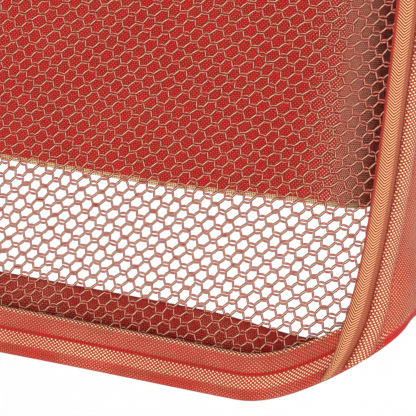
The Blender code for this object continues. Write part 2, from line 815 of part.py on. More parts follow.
def build_chains():
    ring_level = TOP_ARM_LEVEL - POST_ROD - GAP - CHAIN_RING_WIRE
    wire_ring("chain_ring", CHAIN_RING_RADIUS, ring_level, CHAIN_RING_WIRE, "zinc_hardware")
    wire_ring("collector_ring", COLLECTOR_RADIUS, COLLECTOR_LEVEL, COLLECTOR_WIRE, "zinc_hardware")
    top = ring_level - CHAIN_RING_WIRE - 0.0005
    drop = top - CHAIN_FOOT_LEVEL
    gather = CHAIN_RING_RADIUS - CHAIN_FOOT_RADIUS
    steps = 6
    for index in range(CHAIN_COUNT):
        pivot = Vector((CHAIN_RING_RADIUS, 0, ring_level))
        points = []
        for i in range(steps + 1):
            t = i / steps
            reach = CHAIN_RING_RADIUS - gather * t**CHAIN_SAG
            points.append(Vector((reach, 0, top - drop * t)) - pivot)
        turn = math.tau * (index + 0.5) / CHAIN_COUNT
        place = about_z(turn, pivot)
        rod(f"chain_{index + 1}", points, CHAIN_RADIUS, "zinc_chain", sides=6, place=place)


clear_scene()
FINISHES = make_materials()
build_base()
build_poles()
build_tray_carrier()
build_tray()
build_top()
bpy.context.view_layer.update()
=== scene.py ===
"""Looks of the portable disc golf basket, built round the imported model.

Places on the cloth tray are given as (run, inset, level): run goes round the tray's outline from
the middle of its -Y side, inset goes inwards from the outline and level is the height. Lengths
are in metres, unless a comment says mm.
"""

import math

import bpy
import numpy as np
from mathutils import Matrix, Vector


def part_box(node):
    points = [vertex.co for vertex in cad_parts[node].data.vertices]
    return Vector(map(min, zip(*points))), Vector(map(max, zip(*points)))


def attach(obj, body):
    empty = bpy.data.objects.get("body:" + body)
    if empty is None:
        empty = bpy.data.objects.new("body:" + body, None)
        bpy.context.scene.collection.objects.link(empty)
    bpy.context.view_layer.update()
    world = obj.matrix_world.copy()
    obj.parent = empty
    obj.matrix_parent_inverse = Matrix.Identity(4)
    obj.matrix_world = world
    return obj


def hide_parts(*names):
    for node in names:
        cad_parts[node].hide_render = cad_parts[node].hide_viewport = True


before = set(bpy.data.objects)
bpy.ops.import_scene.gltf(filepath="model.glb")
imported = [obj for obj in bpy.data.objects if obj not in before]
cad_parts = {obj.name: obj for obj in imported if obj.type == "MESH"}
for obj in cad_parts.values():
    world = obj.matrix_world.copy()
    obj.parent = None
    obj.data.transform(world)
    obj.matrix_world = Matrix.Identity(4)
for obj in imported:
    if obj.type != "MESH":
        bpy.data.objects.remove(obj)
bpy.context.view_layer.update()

MM = 0.001

# ---------------------------------------------------------------- sizes, in metres
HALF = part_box("hem_binding")[1].x
CORNER = 16 * MM
INNER_CORNER = 8.5 * MM
HEM_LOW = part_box("hem_binding")[0].z
RIM_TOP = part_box("rim_binding")[1].z
NET_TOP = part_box("mesh_panel_1")[1].z
FLOOR_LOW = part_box("tub_floor")[0].z
TUB_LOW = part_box("tub_wall")[0].z
TUB_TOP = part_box("tub_wall")[1].z
TUB_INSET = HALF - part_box("tub_floor")[1].x
TUB_TOP_INSET = 11.2 * MM  # where its flared top meets the rim
EYE_RADIUS = 20.5 * MM  # of the eye in the tub's floor
BAND_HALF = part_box("target_band")[1].x
BAND_CORNER = 38 * MM
BAND_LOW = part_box("target_band")[0].z
BAND_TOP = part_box("target_band")[1].z

HEM_RISE = 24 * MM  # the hem climbs this far round each corner panel
RISE_LEAD = 36.5 * MM  # the climb starts this far before a corner's middle
RISE_LENGTH = 54 * MM
FALL_LEAD = 45 * MM  # and the fall this far after it
FALL_LENGTH = 200 * MM
PANEL_RUN = 66.8 * MM  # where a corner panel ends, past the middle of its corner

SIDE_RUN = 2 * (HALF - CORNER + CORNER * math.pi / 4)  # a side, from mid-corner to mid-corner
AROUND = 4 * SIDE_RUN
BAND_RUN = 2 * (BAND_HALF - BAND_CORNER + BAND_CORNER * math.pi / 4)
BAND_AROUND = 4 * BAND_RUN

NET_INSET = 1.9 * MM
NET_END = 4.5 * MM  # a net wall stops this far before the next corner's middle
NET_STAGGER = 0.08 * MM  # every other row lies this much further in
NET_PITCH = 5.41 * MM  # from one hole to the next along a row
NET_ROW = 1.915 * MM  # from one row of bars to the next
NET_HOP = 3.32 * MM  # how far each row is shifted from the one below
NET_TILT = math.radians(3.2)
NET_BAR = 0.92 * MM  # half the length of a double-thread bar
OPEN_SLIT, SHUT_SLIT = 0.50 * MM, 0.34 * MM  # a bar's threads lie this far from its middle
NET_MEET = 0.24 * MM  # and this far at its ends
BAR_THREAD, SLANT_THREAD = 0.60 * MM, 0.74 * MM  # the threads' widths

STITCH_PITCH = 3.6 * MM


# ---------------------------------------------------------------- places
def smooth(t):
    t = np.clip(t, 0.0, 1.0)
    return t * t * (3 - 2 * t)


def outline(run, inset, half=HALF, corner=CORNER):
    """x and y of a rounded square at a run along it and an inset from it."""
    side_run = 2 * (half - corner + corner * math.pi / 4)
    run, inset = np.broadcast_arrays(np.asarray(run, float), np.asarray(inset, float))
    side = np.floor(run / side_run + 0.5)
    local = run - side * side_run
    straight = half - corner
    angle = np.clip((np.abs(local) - straight) / corner, 0, None)
    reach = np.maximum(corner - inset, min(corner, INNER_CORNER))
    flat = half - inset - reach
    bent = np.sign(local) * (flat + reach * np.sin(angle))
    x = np.where(angle > 0, bent, local * flat / straight)
    y = -(flat + reach * np.cos(angle))
    turn = side * math.pi / 2
    return x * np.cos(turn) - y * np.sin(turn), x * np.sin(turn) + y * np.cos(turn)


def past_corner(run):
    """Distance past the nearest corner's middle, negative before it."""
    return run - SIDE_RUN * (np.floor(run / SIDE_RUN) + 0.5)


def hem_rise(run):
    """How far the hem stands above its lowest level."""
    past = past_corner(run)
    climb = smooth((past + RISE_LEAD) / RISE_LENGTH)
    fall = smooth((past - FALL_LEAD) / FALL_LENGTH)
    return HEM_RISE * climb * (1 - fall)


def drape(run, level):
    """How far the slack cloth stands out from its true outline, the same for every layer."""
    turns = math.tau * run / AROUND
    height = np.clip((RIM_TOP - level) / (RIM_TOP - HEM_LOW), 0, 1)
    wave = 0.9 * np.sin(11 * turns + 2.0 * height) + 0.6 * np.sin(23 * turns + 1.3 + 3.0 * height)
    return wave * (0.35 + 0.65 * height) * 0.8 * MM


def on_tray(run, inset, level):
    """On the slack cloth of the tray."""
    x, y = outline(run, inset - drape(run, level))
    return np.stack(np.broadcast_arrays(x, y, level), axis=-1)


def in_tub(run, inset, level):
    """On the tub, whose cloth hangs in shallow folds of its own."""
    turns = math.tau * run / AROUND
    hang = np.clip((TUB_TOP - level) / (TUB_TOP - TUB_LOW), 0, 1)
    fold = 1.2 * np.sin(9 * turns + 0.5) + 0.7 * np.sin(31 * turns + 4.0 * hang)
    x, y = outline(run, inset + fold * np.sin(math.pi * hang) * MM)
    return np.stack(np.broadcast_arrays(x, y, level), axis=-1)


def on_band(run, inset, level):
    """On the target band, which bulges in folds between its two bindings."""
    turns = math.tau * run / BAND_AROUND
    share = (level - BAND_LOW) / (BAND_TOP - BAND_LOW)
    middle = np.clip(4 * share * (1 - share), 0, 1)
    fold = 1.1 * np.sin(13 * turns) + 0.6 * np.sin(29 * turns + 1.0)
    x, y = outline(run, inset + fold * middle * MM, BAND_HALF, BAND_CORNER)
    return np.stack(np.broadcast_arrays(x, y, level), axis=-1)


# ---------------------------------------------------------------- meshes
def new_mesh(name, points, faces, uvs=None):
    """A smooth object from arrays: points (n, 3), faces (m, 4) and uvs (m, 4, 2) in metres."""
    mesh = bpy.data.meshes.new(name)
    points = np.asarray(points, np.float32).reshape(-1, 3)
    faces = np.asarray(faces, np.int32)
    corners = faces.shape[1]
    mesh.vertices.add(len(points))
    mesh.vertices.foreach_set("co", points.ravel())
    mesh.loops.add(faces.size)
    mesh.loops.foreach_set("vertex_index", faces.ravel())
    mesh.polygons.add(len(faces))
    mesh.polygons.foreach_set("loop_start", np.arange(0, faces.size, corners, dtype=np.int32))
    if uvs is not None:
        layer = mesh.uv_layers.new(name="UVMap")
        layer.data.foreach_set("uv", np.asarray(uvs, np.float32).ravel())
    mesh.update(calc_edges=True)
    mesh.polygons.foreach_set("use_smooth", np.ones(len(faces), bool))
    made = bpy.data.objects.new(name, mesh)
    bpy.context.scene.collection.objects.link(made)
    return made


def grid(name, points, uv, wrap_u=False, wrap_v=False):
    """A surface from points (nu, nv, 3); uv has one more row or column where it wraps."""
    nu, nv = points.shape[:2]
    i, j = np.meshgrid(
        np.arange(nu if wrap_u else nu - 1), np.arange(nv if wrap_v else nv - 1), indexing="ij"
    )
    i, j = i.ravel(), j.ravel()
    around = ((i, j), (i + 1, j), (i + 1, j + 1), (i, j + 1))
    faces = np.stack([(a % nu) * nv + b % nv for a, b in around], axis=1)
    uvs = np.stack([uv[a, b] for a, b in around], axis=1)
    return new_mesh(name, points, faces, uvs)


def marked(profile):
    """Adds to a closed (inset, level) polyline the distance along it, as a third column."""
    profile = np.asarray(profile, float)
    steps = np.hypot(*np.diff(profile, axis=0).T)
    return np.column_stack([profile, np.concatenate([[0], np.cumsum(steps)])])


def rounded(profile, times=1):
    """Cuts the corners of a closed polyline, save the one where its distance starts again."""
    for _ in range(times):
        here, ahead = profile[:-1], profile[1:]
        cut = np.stack([0.75 * here + 0.25 * ahead, 0.25 * here + 0.75 * ahead], axis=1)
        profile = np.concatenate([profile[:1], cut.reshape(-1, 3)[1:-1], profile[-1:]])
    return profile


def swept(name, profile, around, place, step=2.5 * MM):
    """Sweeps a closed (inset, level) profile in mm right round; u is the run, v the way round it."""
    profile = rounded(marked(np.asarray(profile) * MM))
    count = int(around / step)
    runs = np.arange(count) * (around / count)
    points = place(runs[:, None], profile[None, :, 0], profile[None, :, 1])
    last = profile[-1, 2] + math.hypot(*(profile[0, :2] - profile[-1, :2]))
    u, v = np.append(runs, around), np.append(profile[:, 2], last)
    uv = np.stack(np.meshgrid(u, v, indexing="ij"), axis=-1)
    return grid(name, points, uv, wrap_u=True, wrap_v=True)


def stitches(name, runs, inset, level, place, length=2.6 * MM, radius=0.24 * MM, upright=False):
    """A row of sewing stitches, each a short thread that dips in at both ends."""
    along = length * np.array([-0.5, -0.36, 0.0, 0.36, 0.5])
    thick = radius * np.array([0.3, 0.9, 1.0, 0.9, 0.3])
    sunk = radius * np.array([1.6, 0.2, 0.0, 0.2, 1.6])
    sides = 6
    turn = np.arange(sides) * math.tau / sides
    out = sunk[:, None] + thick[:, None] * np.cos(turn)
    side = thick[:, None] * np.sin(turn)
    runs, level = np.broadcast_arrays(np.asarray(runs, float), np.asarray(level, float))
    run, high = runs[:, None, None], level[:, None, None]
    if upright:
        points = place(run + side, inset + out, high + along[:, None])
    else:
        points = place(run + along[:, None], inset + out, high + side)
    count, rings = len(runs), len(along)
    s, i, j = np.meshgrid(np.arange(count), np.arange(rings - 1), np.arange(sides), indexing="ij")
    s, i, j = s.ravel(), i.ravel(), j.ravel()
    around = ((i, j), (i, (j + 1) % sides), (i + 1, (j + 1) % sides), (i + 1, j))
    faces = np.stack([(s * rings + a) * sides + b for a, b in around], axis=1)
    return new_mesh(name, points, faces)


def dress(made, body, slot, material, *nodes):
    """Finishes a piece: its material, the body it rides on and the CAD nodes it stands for."""
    made.data.materials.clear()
    made.data.materials.append(material)
    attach(made, body)
    if nodes:
        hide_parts(*nodes)
    return made


# ---------------------------------------------------------------- materials
def srgb(red, green, blue):
    """Linear colour from 8-bit sRGB numbers."""
    parts = (c / 255 for c in (red, green, blue))
    return tuple(((c + 0.055) / 1.055) ** 2.4 if c > 0.04 else c / 12.92 for c in parts)


MAROON = srgb(98, 8, 6)
BINDING_RED = srgb(186, 30, 16)
RED = srgb(206, 34, 22)
BRIGHT_RED = srgb(226, 40, 24)
CREAM = srgb(250, 216, 172)
SAND = srgb(246, 204, 158)


class Shader:
    """A Principled material with short calls for building its nodes. A weave's u and v are metres."""

    def __init__(self, name, roughness=0.7, metallic=0.0, sheen=0.0, specular=0.25):
        self.material = bpy.data.materials.new(name)
        self.material.use_nodes = True
        self.nodes = self.material.node_tree.nodes
        self.links = self.material.node_tree.links
        self.main = self.nodes["Principled BSDF"]
        self.main.inputs["Roughness"].default_value = roughness
        self.main.inputs["Metallic"].default_value = metallic
        self.main.inputs["Sheen Weight"].default_value = sheen
        self.main.inputs["Sheen Roughness"].default_value = 0.4
        self.main.inputs["Specular IOR Level"].default_value = 0.5 if metallic else specular

    def put(self, socket, value):
        if isinstance(value, bpy.types.NodeSocket):
            self.links.new(value, socket)
        else:
            socket.default_value = value

    def math(self, operation, a, b=0.0, c=0.0, clamp=False):
        node = self.nodes.new("ShaderNodeMath")
        node.operation, node.use_clamp = operation, clamp
        for socket, value in zip(node.inputs, (a, b, c)):
            self.put(socket, value)
        return node.outputs[0]

    def add(self, a, b):
        return self.math("ADD", a, b)

    def times(self, a, b):
        return self.math("MULTIPLY", a, b)

    def uv(self):
        node = self.nodes.new("ShaderNodeUVMap")
        node.uv_map = "UVMap"
        split = self.nodes.new("ShaderNodeSeparateXYZ")
        self.links.new(node.outputs[0], split.inputs[0])
        return split.outputs[0], split.outputs[1]

    def point(self):
        return self.nodes.new("ShaderNodeTexCoord").outputs["Object"]

    def noise(self, scale, detail=2.0, rough=0.5):
        node = self.nodes.new("ShaderNodeTexNoise")
        node.inputs["Scale"].default_value = scale
        node.inputs["Detail"].default_value = detail
        node.inputs["Roughness"].default_value = rough
        self.links.new(self.point(), node.inputs["Vector"])
        return node.outputs["Fac"]

    def ramp(self, value, low, high):
        """A smooth step from 0 at low to 1 at high."""
        node = self.nodes.new("ShaderNodeMapRange")
        node.interpolation_type = "SMOOTHSTEP"
        for socket, entry in zip(node.inputs, (value, low, high, 0.0, 1.0)):
            self.put(socket, entry)
        return node.outputs[0]

    def zone(self, v, low, high, soft=0.15 * MM):
        """1 between low and high along v, with soft edges."""
        rising = self.ramp(v, low - soft, low + soft)
        falling = self.ramp(v, high - soft, high + soft)
        return self.times(rising, self.math("SUBTRACT", 1.0, falling))

    def mix(self, share, a, b):
        node = self.nodes.new("ShaderNodeMix")
        node.data_type = "RGBA"
        self.put(node.inputs["Factor"], share)
        for socket, colour in ((node.inputs[6], a), (node.inputs[7], b)):
            is_socket = isinstance(colour, bpy.types.NodeSocket)
            self.put(socket, colour if is_socket else (*colour[:3], 1.0))
        return node.outputs[2]

    def colour(self, value):
        self.put(self.main.inputs["Base Color"], value)

    def bump(self, height, distance, strength=1.0):
        node = self.nodes.new("ShaderNodeBump")
        node.inputs["Distance"].default_value = distance
        node.inputs["Strength"].default_value = strength
        self.links.new(height, node.inputs["Height"])
        self.links.new(node.outputs[0], self.main.inputs["Normal"])

    def weave(self, u, v, along, across, angle=0.0, wobble=0.5):
        """Threads that cross: their height from 0 to 1, and 1 where the threads that carry painted
        glints lie on top.
        """
        shift = self.times(self.math("SUBTRACT", self.noise(700, 1.0), 0.5), wobble * math.pi)
        c, s = math.cos(angle), math.sin(angle)
        p = self.add(self.times(u, c * math.pi / along), self.times(v, s * math.pi / along))
        q = self.add(self.times(v, c * math.pi / across), self.times(u, -s * math.pi / across))
        one = self.math("SINE", self.add(p, shift))
        two = self.math("SINE", self.add(q, shift))
        both = self.times(one, two)
        return self.math("ABSOLUTE", both), self.ramp(both, 0.1, 0.5)


def woven(name, ground, shade, glint, share, thread=0.43 * MM, wide=1.0, angle=0.0, zones=(),
          corners=None, under_panel=None):
    """Woven cloth: ground threads, painted shade where they dip, and painted glints on the threads
    crossing over. zones are (low, high, share, ground or None) strips across v, share giving more
    or fewer painted glints; corners is the glints' colour near the tray's corners, where there are
    more of them as painted light, and under_panel the ground's below a corner panel."""
    s = Shader(name, roughness=0.6, sheen=0.03)
    u, v = s.uv()
    height, top = s.weave(u, v, thread * wide, thread, angle)
    patch = s.ramp(s.noise(60, 3.0), 0.35, 0.68)
    glint_amount = s.math("MULTIPLY_ADD", patch, 0.25, share - 0.12)
    base = s.mix(s.ramp(s.noise(45, 2.0), 0.3, 0.7), ground, tuple(0.92 * c for c in ground))
    for low, high, strip_glint_share, strip_ground in zones:
        inside = s.zone(v, low, high)
        glint_amount = s.math("MULTIPLY_ADD", inside, strip_glint_share, glint_amount)
        if strip_ground:
            base = s.mix(inside, base, strip_ground)
    # painted light near the tray's corners: more glints, and paler ones
    if corners:
        in_side = s.math("MODULO", u, SIDE_RUN)
        from_corner = s.math("ABSOLUTE", s.math("SUBTRACT", in_side, SIDE_RUN / 2))
        near = s.math("SUBTRACT", 1.0, s.ramp(from_corner, 2 * MM, 26 * MM))
        glint_amount = s.math("MULTIPLY_ADD", near, 0.8, glint_amount)
        glint = s.mix(near, glint, corners)
    if under_panel:
        past = s.math("MODULO", s.add(u, SIDE_RUN / 2), SIDE_RUN)
        inside = s.zone(past, 2 * MM, PANEL_RUN, 1 * MM)
        glint_amount = s.math("MULTIPLY_ADD", inside, -0.45, glint_amount)
        base = s.mix(inside, base, under_panel)
    # painted glints where the threads that cross over lie on top
    lit = s.math("MULTIPLY", top, glint_amount, clamp=True)
    # painted shade where the threads dip
    dips = s.mix(s.ramp(height, 0.04, 0.5), shade, base)
    s.colour(s.mix(lit, dips, glint))
    s.bump(height, 0.14 * MM, 0.9)
    return s.material


def net_material():
    """Net yarn: painted shade in dark red at its sides, a painted highlight in tan along its middle,
    redder where it is doubled.
    """
    s = Shader("net_yarn", roughness=0.5)
    doubled, across = s.uv()
    from_middle = s.math("ABSOLUTE", s.math("SUBTRACT", across, 0.5))
    middle = s.math("SUBTRACT", 1.0, s.ramp(from_middle, 0.04, 0.23))
    fibres = s.ramp(s.noise(1500, 1.0), 0.4, 0.7)
    # painted highlight: tan along the thread's middle, redder where it is doubled, with cream fibres
    # in it
    highlight_core = s.mix(doubled, srgb(244, 172, 132), srgb(236, 112, 84))
    highlight_core = s.mix(s.times(fibres, 0.45), highlight_core, CREAM)
    # painted shade: the thread's sides in dark red
    shaded_rim_colour = s.mix(doubled, srgb(70, 6, 6), srgb(96, 6, 6))
    s.colour(s.mix(middle, shaded_rim_colour, highlight_core))
    s.bump(middle, 0.15 * MM)
    return s.material


CHEVRON_PITCH = 0.74 * MM
RIB_PITCH = 0.52 * MM


def tape_material(name, edge, chevron, band, crease, ridge):
    """The corner tape, across v: bright edge, chevrons lit cream by a painted highlight, smooth band
    darkened by painted shade, crease dark with painted shade, and a ridge of cream dots, a painted
    highlight that fades to red past its top.
    """
    s = Shader(name, roughness=0.5, sheen=0.03)
    u, v = s.uv()
    wobble = s.times(s.math("SUBTRACT", s.noise(400, 1.0), 0.5), 0.25 * MM)
    along = s.add(u, wobble)
    slant = s.math("ABSOLUTE", s.math("SUBTRACT", v, (edge + chevron) / 2))
    rows = s.times(s.math("MULTIPLY_ADD", slant, -1.0, along), math.tau / CHEVRON_PITCH)
    chevrons = s.ramp(s.math("SINE", rows), -0.4, 0.5)
    ribs = s.times(s.add(along, s.times(v, 0.35)), math.tau / RIB_PITCH)
    fine = s.ramp(s.math("SINE", ribs), -0.9, 0.9)
    height, top = s.weave(u, v, 0.46 * MM, 0.50 * MM, 0.2)
    raised = s.ramp(height, 0.05, 0.6)
    past_crease = s.ramp(v, crease, crease + 0.3 * MM)
    past_ridge = s.ramp(v, ridge - 0.8 * MM, ridge + 0.8 * MM)
    before_edge = s.math("SUBTRACT", 1.0, s.ramp(v, edge - 0.2 * MM, edge + 0.1 * MM))
    # painted shade: the smooth band's fine ribs in darker tan-brown, on the first ridge's far side
    shaded_band = s.mix(fine, srgb(140, 50, 30), srgb(174, 100, 64))
    # painted highlight: cream dots on the ridge, with maroon painted shade where its threads dip
    dotted_highlight = s.mix(s.times(top, 0.95), s.mix(raised, MAROON, srgb(180, 56, 30)), srgb(246, 208, 162))
    # past the ridge's top: fewer cream dots as the painted highlight fades, maroon painted shade in
    # the dips
    oxford = s.mix(s.times(top, 0.6), s.mix(raised, MAROON, RED), srgb(236, 170, 120))
    # painted highlight: the herringbone chevrons in cream against dark red
    colour = s.mix(chevrons, srgb(104, 30, 16), srgb(226, 158, 108))
    colour = s.mix(s.zone(v, chevron, band), colour, shaded_band)
    colour = s.mix(past_crease, colour, dotted_highlight)
    # painted shade along the crease
    colour = s.mix(s.zone(v, crease - 0.25 * MM, crease + 0.2 * MM), colour, srgb(140, 20, 14))
    colour = s.mix(past_ridge, colour, oxford)
    s.colour(s.mix(before_edge, colour, srgb(180, 44, 30)))
    s.bump(s.mix(past_crease, chevrons, height), 0.12 * MM, 0.8)
    return s.material


def thread_material(name, colour):
    """Sewing thread, mottled by its fibres."""
    s = Shader(name, roughness=0.5, sheen=0.2)
    s.colour(s.mix(s.ramp(s.noise(2500, 1.0), 0.3, 0.7), colour, tuple(0.6 * c for c in colour)))
    return s.material


def metal(name, light, dark, roughness, spangle, bump=0.03 * MM):
    """Plated or bare metal, mottled at the size of its spangle."""
    s = Shader(name, metallic=1.0)
    mottle = s.ramp(s.noise(spangle, 4.0, 0.6), 0.3, 0.7)
    s.colour(s.mix(mottle, dark, light))
    s.put(s.main.inputs["Roughness"], s.math("MULTIPLY_ADD", mottle, -0.15, roughness + 0.08))
    s.bump(s.noise(spangle * 4, 2.0), bump, 0.5)
    return s.material


def coated(name, light, dark, roughness, grain, bump):
    """Powder coat, moulded plastic or rubber: fine grain, with dust in patches."""
    s = Shader(name)
    fine = s.noise(grain, 2.0)
    worn = s.ramp(s.noise(24, 5.0, 0.65), 0.42, 0.72)
    base = s.mix(s.ramp(fine, 0.3, 0.7), dark, light)
    s.colour(s.mix(s.times(worn, 0.35), base, tuple(1.8 * c for c in light)))
    s.put(s.main.inputs["Roughness"], s.math("MULTIPLY_ADD", worn, 0.14, roughness))
    s.bump(fine, bump, 0.6)
    return s.material


# ---------------------------------------------------------------- net walls
def net_thread(slit, next_slit):
    """One period of a net thread that runs from a bar up to the next row's bar and down again."""
    up_gap = NET_HOP - 2 * NET_BAR
    bar = NET_BAR * np.array([-1, -0.45, 0.45, 1])
    along = [*bar, NET_BAR + 0.5 * up_gap, *(NET_HOP + bar)]
    top = NET_ROW - np.array([NET_MEET, next_slit, next_slit, NET_MEET])
    up = [NET_MEET, slit, slit, NET_MEET, NET_ROW / 2, *top]
    doubled = [0.5, 1, 1, 0.5, 0, 0.5, 1, 1, 0.5]
    return np.array(along), np.array(up), np.array(doubled)


def uneven(run, level):
    """The small unevenness of a hung net: neighbouring threads move together."""
    a, b = run / MM, level / MM
    run = run + MM * (0.16 * np.sin(a * 0.61 + b * 0.83) + 0.10 * np.sin(a * 1.13 - b * 1.71 + 1.0))
    run = run + MM * 0.5 * np.sin(a * 0.031 + b * 0.043)
    level = level + MM * (0.14 * np.sin(a * 0.83 - b * 0.55 + 2.0) + 0.07 * np.sin(a * 1.47 + b * 0.9))
    return run, level + MM * 0.5 * np.sin(a * 0.027 - b * 0.038 + 1.0)


def net_wall(side, material):
    """One wall of net, as threads that meet in pairs, laid out in tilted rows."""
    low_run = -SIDE_RUN / 2 + PANEL_RUN
    high_run = SIDE_RUN / 2 - NET_END
    base = HEM_LOW - 2 * MM
    tilt_drop = (high_run - low_run) * math.sin(NET_TILT)
    rows = np.arange(-int(tilt_drop / NET_ROW) - 2, int((NET_TOP - base) / NET_ROW) + 2)
    periods = np.arange(int((high_run - low_run) / NET_PITCH) + 4)
    runs, levels, doubles = [], [], []
    for row in rows:
        slits = (OPEN_SLIT, SHUT_SLIT) if row % 2 == 0 else (SHUT_SLIT, OPEN_SLIT)
        along, up, doubled = net_thread(*slits)
        start = (row * NET_HOP) % NET_PITCH - 2 * NET_PITCH
        s = start + (along[None, :] + NET_PITCH * periods[:, None]).ravel()
        t = row * NET_ROW + np.tile(up, len(periods))
        runs.append(low_run + s * math.cos(NET_TILT) - t * math.sin(NET_TILT))
        levels.append(base + s * math.sin(NET_TILT) + t * math.cos(NET_TILT))
        doubles.append(np.tile(doubled, len(periods)))
    run, level = uneven(np.array(runs), np.array(levels))
    doubled = np.array(doubles)
    d_run, d_level = np.gradient(run, axis=1), np.gradient(level, axis=1)
    size = np.hypot(d_run, d_level)
    width = SLANT_THREAD + (BAR_THREAD - SLANT_THREAD) * doubled
    layer = NET_INSET + (rows[:, None] % 2) * NET_STAGGER
    edges = []
    for edge in (-0.5, 0.5):
        r = run - d_level / size * width * edge
        z = level + d_run / size * width * edge
        edges.append(on_tray(r + side * SIDE_RUN, layer, z))
    points = np.stack(edges, axis=2)
    count = run.shape[1]
    inside = (run > low_run) & (run < high_run) & (level < NET_TOP)
    inside &= level > HEM_LOW + hem_rise(run + side * SIDE_RUN) + 1.8 * MM
    i, j = np.nonzero(inside[:, :-1] & inside[:, 1:])
    first = (i * count + j) * 2
    faces = np.stack([first, first + 2, first + 3, first + 1], axis=1)
    here, ahead = doubled[i, j], doubled[i, j + 1]
    zero, one = np.zeros(len(i)), np.ones(len(i))
    uvs = [np.stack(p, axis=-1) for p in ((here, zero), (ahead, zero), (ahead, one), (here, one))]
    used, faces = np.unique(faces, return_inverse=True)
    wall = new_mesh(f"net_wall_{side + 1}", points.reshape(-1, 3)[used], faces.reshape(-1, 4),
                    np.stack(uvs, axis=1))
    dress(wall, "tray", "red_mesh", material, f"mesh_panel_{side + 1}")
    return wall


# ---------------------------------------------------------------- hem, rim and corner tapes
# Each profile is closed and in mm: the inset, and the height above the hem's lower edge, or from
# the rim's or the band's edge.
HEM_TAPE = [
    (1.3, 6.5), (1.3, 11.6), (0.9, 12.7), (0.1, 13.1), (-0.7, 12.9), (-1.0, 12.3), (-0.8, 11.7),
    (-0.4, 11.3), (-0.5, 10.4), (-0.75, 9.2), (-0.6, 8.2), (-0.25, 7.6), (0.15, 7.3), (-0.25, 7.0),
    (-0.7, 6.2), (-1.1, 4.7), (-1.05, 3.4), (-0.75, 2.4), (-0.45, 2.1), (-0.7, 1.7), (-0.8, 1.1),
    (-0.5, 0.4), (0.5, -0.1), (2.4, -0.3), (4.8, -0.1), (6.6, 0.5), (7.2, 1.8), (7.2, 8.0),
    (7.2, 14.0), (7.2, 19.4), (6.9, 20.2), (6.3, 20.2), (6.1, 19.4), (6.0, 12.0), (6.0, 2.4),
    (5.2, 1.3), (3.6, 1.1), (2.0, 1.3), (1.3, 2.4),
]
RIM_TAPE = [
    (1.3, -7.0), (1.3, -13.6), (0.7, -14.3), (-0.3, -14.2), (-0.8, -13.5), (-0.5, -12.7),
    (-0.2, -12.0), (-0.6, -10.6), (-0.6, -9.0), (0.1, -8.2), (-0.5, -7.4), (-0.7, -5.0),
    (-0.4, -2.4), (0.7, -0.5), (2.6, 0.2), (5.0, 0.4), (7.6, 0.2), (9.5, -0.6), (10.3, -2.4),
    (10.4, -8.0), (10.3, -13.4), (9.9, -14.0), (9.1, -14.0), (9.0, -12.0), (9.0, -3.0),
    (8.0, -1.5), (5.2, -1.1), (2.4, -1.5), (1.3, -3.0),
]
BAND_TAPE = [
    (2.4, -6.0), (1.4, -9.4), (0.6, -9.8), (-0.4, -9.6), (-0.6, -8.8), (-0.3, -8.0), (-0.6, -6.6),
    (-0.6, -3.0), (-0.2, -0.9), (0.8, -0.1), (2.6, 0.3), (4.4, -0.1), (5.2, -1.0), (5.4, -3.0),
    (5.3, -8.0), (4.9, -9.6), (4.2, -9.8), (3.6, -9.4),
]
HEM_BACK_INSET = 5.8 * MM  # the hem's back leg lies further in than this
HEM_BACK_HEIGHT = 20.2 * MM


def hem_place(run, inset, height):
    """The hem's cloth, whose back leg keeps the level of its top while the lower edge climbs."""
    past = past_corner(run)
    rise = hem_rise(run)
    near = smooth((past + 50 * MM) / (36 * MM)) * (1 - smooth((past - 20 * MM) / (60 * MM)))
    back_top = np.maximum(20.4 * MM - 3.2 * MM * near, rise + 7.5 * MM) - rise
    is_back = np.where(inset > HEM_BACK_INSET, 1.0, 0.0)
    back = is_back * np.clip(height / HEM_BACK_HEIGHT, 0, 1)
    height = height * (1 - back) + back * back_top
    return on_tray(run, inset, HEM_LOW + rise + height)


def tape_middle(level):
    """How far past the corner's middle a corner tape's crease lies: it swings aside at its foot."""
    return 0.3 * MM - 9.5 * MM * np.exp(-(level - HEM_LOW - 13 * MM) / (19 * MM))


TAPE_SECTION = [  # across the tape from its crease, and how far it stands out, in mm
    (-5.4, -2.2), (-5.4, -0.6), (-5.1, 0.5), (-4.6, 1.3), (-3.9, 2.0), (-3.0, 2.4), (-2.0, 2.3),
    (-1.2, 1.8), (-0.5, 0.9), (0.0, -0.1), (0.5, 0.9), (1.3, 1.6), (2.3, 1.8), (3.4, 1.6),
    (4.4, 1.0), (5.2, 0.4), (5.6, -0.6), (5.7, -2.2),
]
TAPE_EDGE, TAPE_CHEVRON, TAPE_BAND = -5.05 * MM, -2.2 * MM, -0.1 * MM
TAPE_RIDGE = 3.6 * MM
TAPE_FOOT = 1.8 * MM  # a corner tape ends this far above the hem's lower edge


